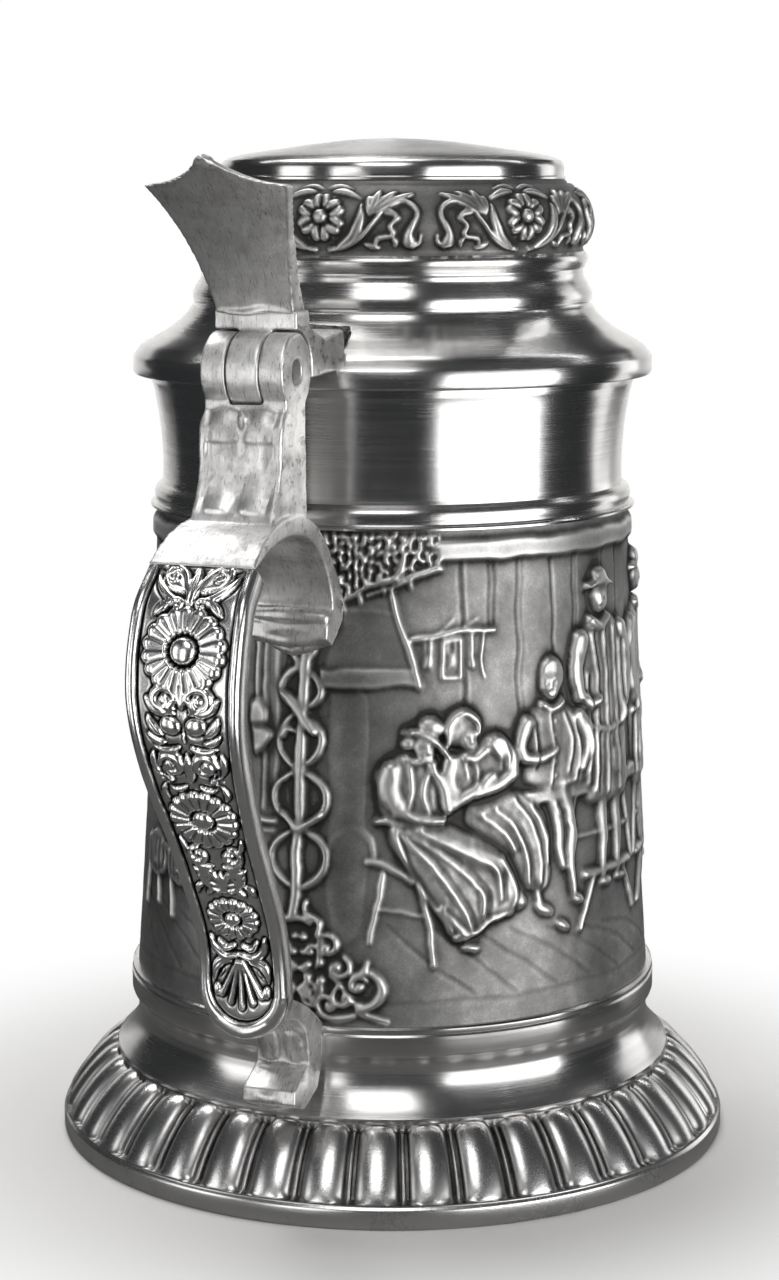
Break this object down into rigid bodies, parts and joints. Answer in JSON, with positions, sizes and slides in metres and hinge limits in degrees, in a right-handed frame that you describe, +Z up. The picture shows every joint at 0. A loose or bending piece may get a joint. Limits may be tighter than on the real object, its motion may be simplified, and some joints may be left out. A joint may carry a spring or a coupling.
{
  "type": "lidded tankard",
  "caption": "Pewter drinking tankard with a relief-cast barrel, gadrooned foot, turned neck, ornamental strap handle and a hinged lid raised by a thumb plate.",
  "frame": {"origin": "centre of the foot's underside, on the tankard's own axis", "axes": "+Z up along the tankard's axis, +X towards the handle, +Y along the lid's hinge pin"},
  "size_m": [0.1471, 0.116, 0.1707],
  "materials": {
    "polished_pewter": "turned and polished pewter, fine lathe lines",
    "antiqued_pewter": "cast pewter relief, dark patina in the recesses, rubbed bright on the high points",
    "cast_pewter": "satin cast pewter with fine pits and scratches",
    "handle_silver": "bright cast pewter, black patina in the recesses",
    "pin_metal": "dull drawn pin",
    "solder": "rough dark solder"
  },
  "bodies": {
    "tankard": {"foot_ring": "antiqued_pewter", "foot_waist": "polished_pewter", "bottom_plate": "polished_pewter", "relief_barrel": "antiqued_pewter", "neck_collar": "polished_pewter", "handle_post": "cast_pewter", "handle_grip": "handle_silver", "handle_leg": "cast_pewter", "hinge_pin": "pin_metal"},
    "lid": {"lid_skirt": "polished_pewter", "lid_band": "antiqued_pewter", "lid_crown": "polished_pewter", "hinge_block": "cast_pewter", "thumb_plate": "cast_pewter", "strap_solder": "solder"}
  },
  "joints": [
    {"name": "lid_hinge", "type": "hinge", "parent": "tankard", "child": "lid", "pos_m": [0.06, 0, 0.1356], "axis": [0, 1, 0], "range_deg": [0, 104]}
  ]
}
